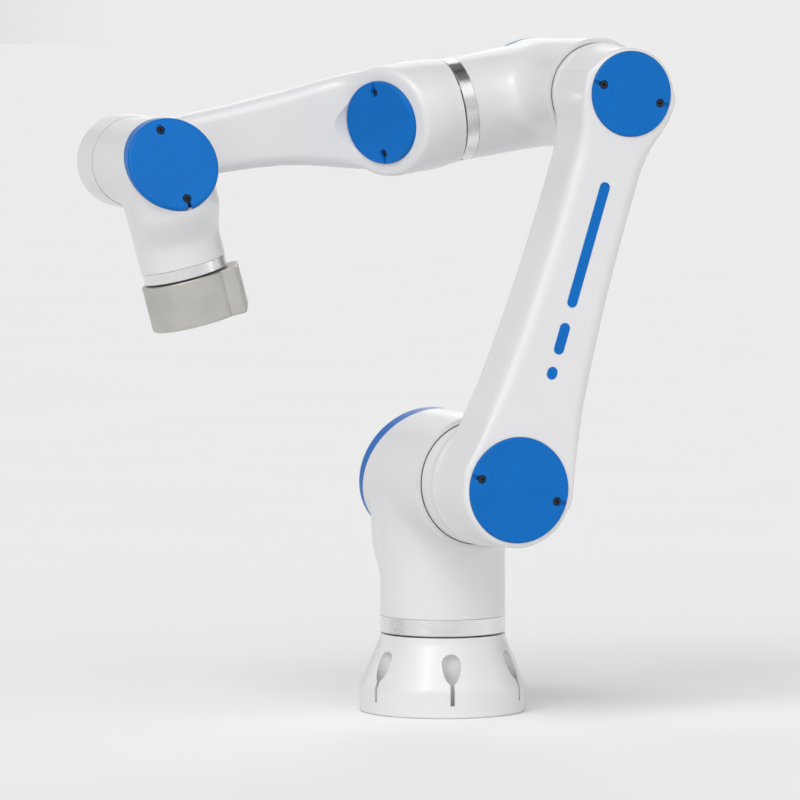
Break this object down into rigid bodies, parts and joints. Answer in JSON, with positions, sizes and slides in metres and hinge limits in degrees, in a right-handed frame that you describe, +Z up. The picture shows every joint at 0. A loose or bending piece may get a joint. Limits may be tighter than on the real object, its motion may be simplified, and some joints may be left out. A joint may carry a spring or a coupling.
{
  "type": "collaborative robot arm",
  "caption": "Six-axis collaborative robot arm on a round bolt-down base, with slanted blue joint covers and a round tool flange.",
  "frame": {"origin": "centre of the base's mounting face, on the first joint's axis", "axes": "+Z up along the first joint axis; the stored pose lies in the XZ plane and reaches towards -X; the upper arm is offset towards -Y"},
  "size_m": [0.4902, 0.3138, 0.6389],
  "materials": {
    "white_enamel": "gloss white enamel on cast aluminium",
    "blue_cover": "moulded blue plastic, satin gloss",
    "white_cover": "moulded white plastic",
    "polished_ring": "turned and polished aluminium",
    "black_rubber": "lip seal rubber",
    "satin_flange": "bead-blasted, warm grey anodised aluminium",
    "connector_metal": "nickel-plated brass",
    "plate_metal": "brushed aluminium sheet",
    "circuit_board": "green circuit board",
    "copper_winding": "laminated stator with copper windings",
    "machined_steel": "machined steel",
    "screw_steel": "black-finished socket screws"
  },
  "bodies": {
    "base": {"base_casting": "white_enamel", "base_bottom_plate": "plate_metal", "base_connector": "connector_metal", "j1_gear_ring": "machined_steel", "j1_stator": "copper_winding", "j1_encoder": "circuit_board"},
    "shoulder": {"shoulder_casting": "white_enamel", "shoulder_cover": "blue_cover", "shoulder_cover_screws": "screw_steel", "j1_trim_ring": "polished_ring", "j1_output_hub": "machined_steel", "j2_seal": "black_rubber", "j2_gear_ring": "machined_steel", "j2_stator": "copper_winding", "j2_encoder": "circuit_board"},
    "upper_arm": {"upper_arm_casting": "white_enamel", "upper_arm_shoulder_cover": "blue_cover", "upper_arm_elbow_cover": "blue_cover", "upper_arm_cover_screws": "screw_steel", "j2_output_hub": "machined_steel", "j3_output_hub": "machined_steel"},
    "elbow": {"elbow_casting": "white_enamel", "elbow_cover": "blue_cover", "elbow_cover_screws": "screw_steel", "j4_trim_ring": "polished_ring", "j3_seal": "black_rubber", "j3_gear_ring": "machined_steel", "j3_stator": "copper_winding", "j3_encoder": "circuit_board", "j4_gear_ring": "machined_steel", "j4_stator": "copper_winding", "j4_encoder": "circuit_board"},
    "forearm": {"forearm_casting": "white_enamel", "forearm_cover": "blue_cover", "forearm_cover_screws": "screw_steel", "forearm_end_cover": "white_cover", "j4_output_hub": "machined_steel", "j5_output_hub": "machined_steel"},
    "wrist": {"wrist_casting": "white_enamel", "wrist_cover": "blue_cover", "wrist_cover_screws": "screw_steel", "j6_trim_ring": "polished_ring", "j5_seal": "black_rubber", "j5_gear_ring": "machined_steel", "j5_stator": "copper_winding", "j5_encoder": "circuit_board", "j6_gear_ring": "machined_steel", "j6_stator": "copper_winding", "j6_encoder": "circuit_board"},
    "tool_flange": {"tool_flange": "satin_flange", "tool_connector": "connector_metal", "j6_output_hub": "machined_steel"},
    "j1_rotor": {"j1_rotor": "machined_steel"},
    "j2_rotor": {"j2_rotor": "machined_steel"},
    "j3_rotor": {"j3_rotor": "machined_steel"},
    "j4_rotor": {"j4_rotor": "machined_steel"},
    "j5_rotor": {"j5_rotor": "machined_steel"},
    "j6_rotor": {"j6_rotor": "machined_steel"}
  },
  "joints": [
    {"name": "j1_base", "type": "hinge", "parent": "base", "child": "shoulder", "pos_m": [0, 0, 0.224], "axis": [0, 0, 1], "range_deg": [-360, 360]},
    {"name": "j2_shoulder", "type": "hinge", "parent": "shoulder", "child": "upper_arm", "pos_m": [0, 0, 0.224], "axis": [0, 1, 0], "range_deg": [-152, 118]},
    {"name": "j3_elbow", "type": "hinge", "parent": "upper_arm", "child": "elbow", "pos_m": [0.1111, 0, 0.5874], "axis": [0, 1, 0], "range_deg": [-15, 247]},
    {"name": "j4_forearm", "type": "hinge", "parent": "elbow", "child": "forearm", "pos_m": [0.1111, 0, 0.5874], "axis": [-0.9869, 0, -0.1616], "range_deg": [-360, 360]},
    {"name": "j5_wrist", "type": "hinge", "parent": "forearm", "child": "wrist", "pos_m": [-0.28463, 0, 0.52259], "axis": [0, 1, 0], "range_deg": [-180, 180]},
    {"name": "j6_tool", "type": "hinge", "parent": "wrist", "child": "tool_flange", "pos_m": [-0.28463, 0, 0.52259], "axis": [0.2588, 0, -0.9659], "range_deg": [-360, 360]},
    {"name": "j1_motor", "type": "hinge", "parent": "base", "child": "j1_rotor", "pos_m": [0, 0, 0.224], "axis": [0, 0, 1], "range_deg": [-36000, 36000]},
    {"name": "j2_motor", "type": "hinge", "parent": "shoulder", "child": "j2_rotor", "pos_m": [0, 0, 0.224], "axis": [0, 1, 0], "range_deg": [-15200, 15200]},
    {"name": "j3_motor", "type": "hinge", "parent": "elbow", "child": "j3_rotor", "pos_m": [0.1111, 0, 0.5874], "axis": [0, 1, 0], "range_deg": [-24700, 24700]},
    {"name": "j4_motor", "type": "hinge", "parent": "elbow", "child": "j4_rotor", "pos_m": [0.1111, 0, 0.5874], "axis": [-0.9869, 0, -0.1616], "range_deg": [-36000, 36000]},
    {"name": "j5_motor", "type": "hinge", "parent": "wrist", "child": "j5_rotor", "pos_m": [-0.28463, 0, 0.52259], "axis": [0, 1, 0], "range_deg": [-18000, 18000]},
    {"name": "j6_motor", "type": "hinge", "parent": "wrist", "child": "j6_rotor", "pos_m": [-0.28463, 0, 0.52259], "axis": [0.2588, 0, -0.9659], "range_deg": [-36000, 36000]}
  ],
  "couplings": [
    {"joint": "j1_motor", "follows": "j1_base", "ratio": -100},
    {"joint": "j2_motor", "follows": "j2_shoulder", "ratio": -100},
    {"joint": "j3_motor", "follows": "j3_elbow", "ratio": 100},
    {"joint": "j4_motor", "follows": "j4_forearm", "ratio": -100},
    {"joint": "j5_motor", "follows": "j5_wrist", "ratio": 100},
    {"joint": "j6_motor", "follows": "j6_tool", "ratio": -100}
  ]
}
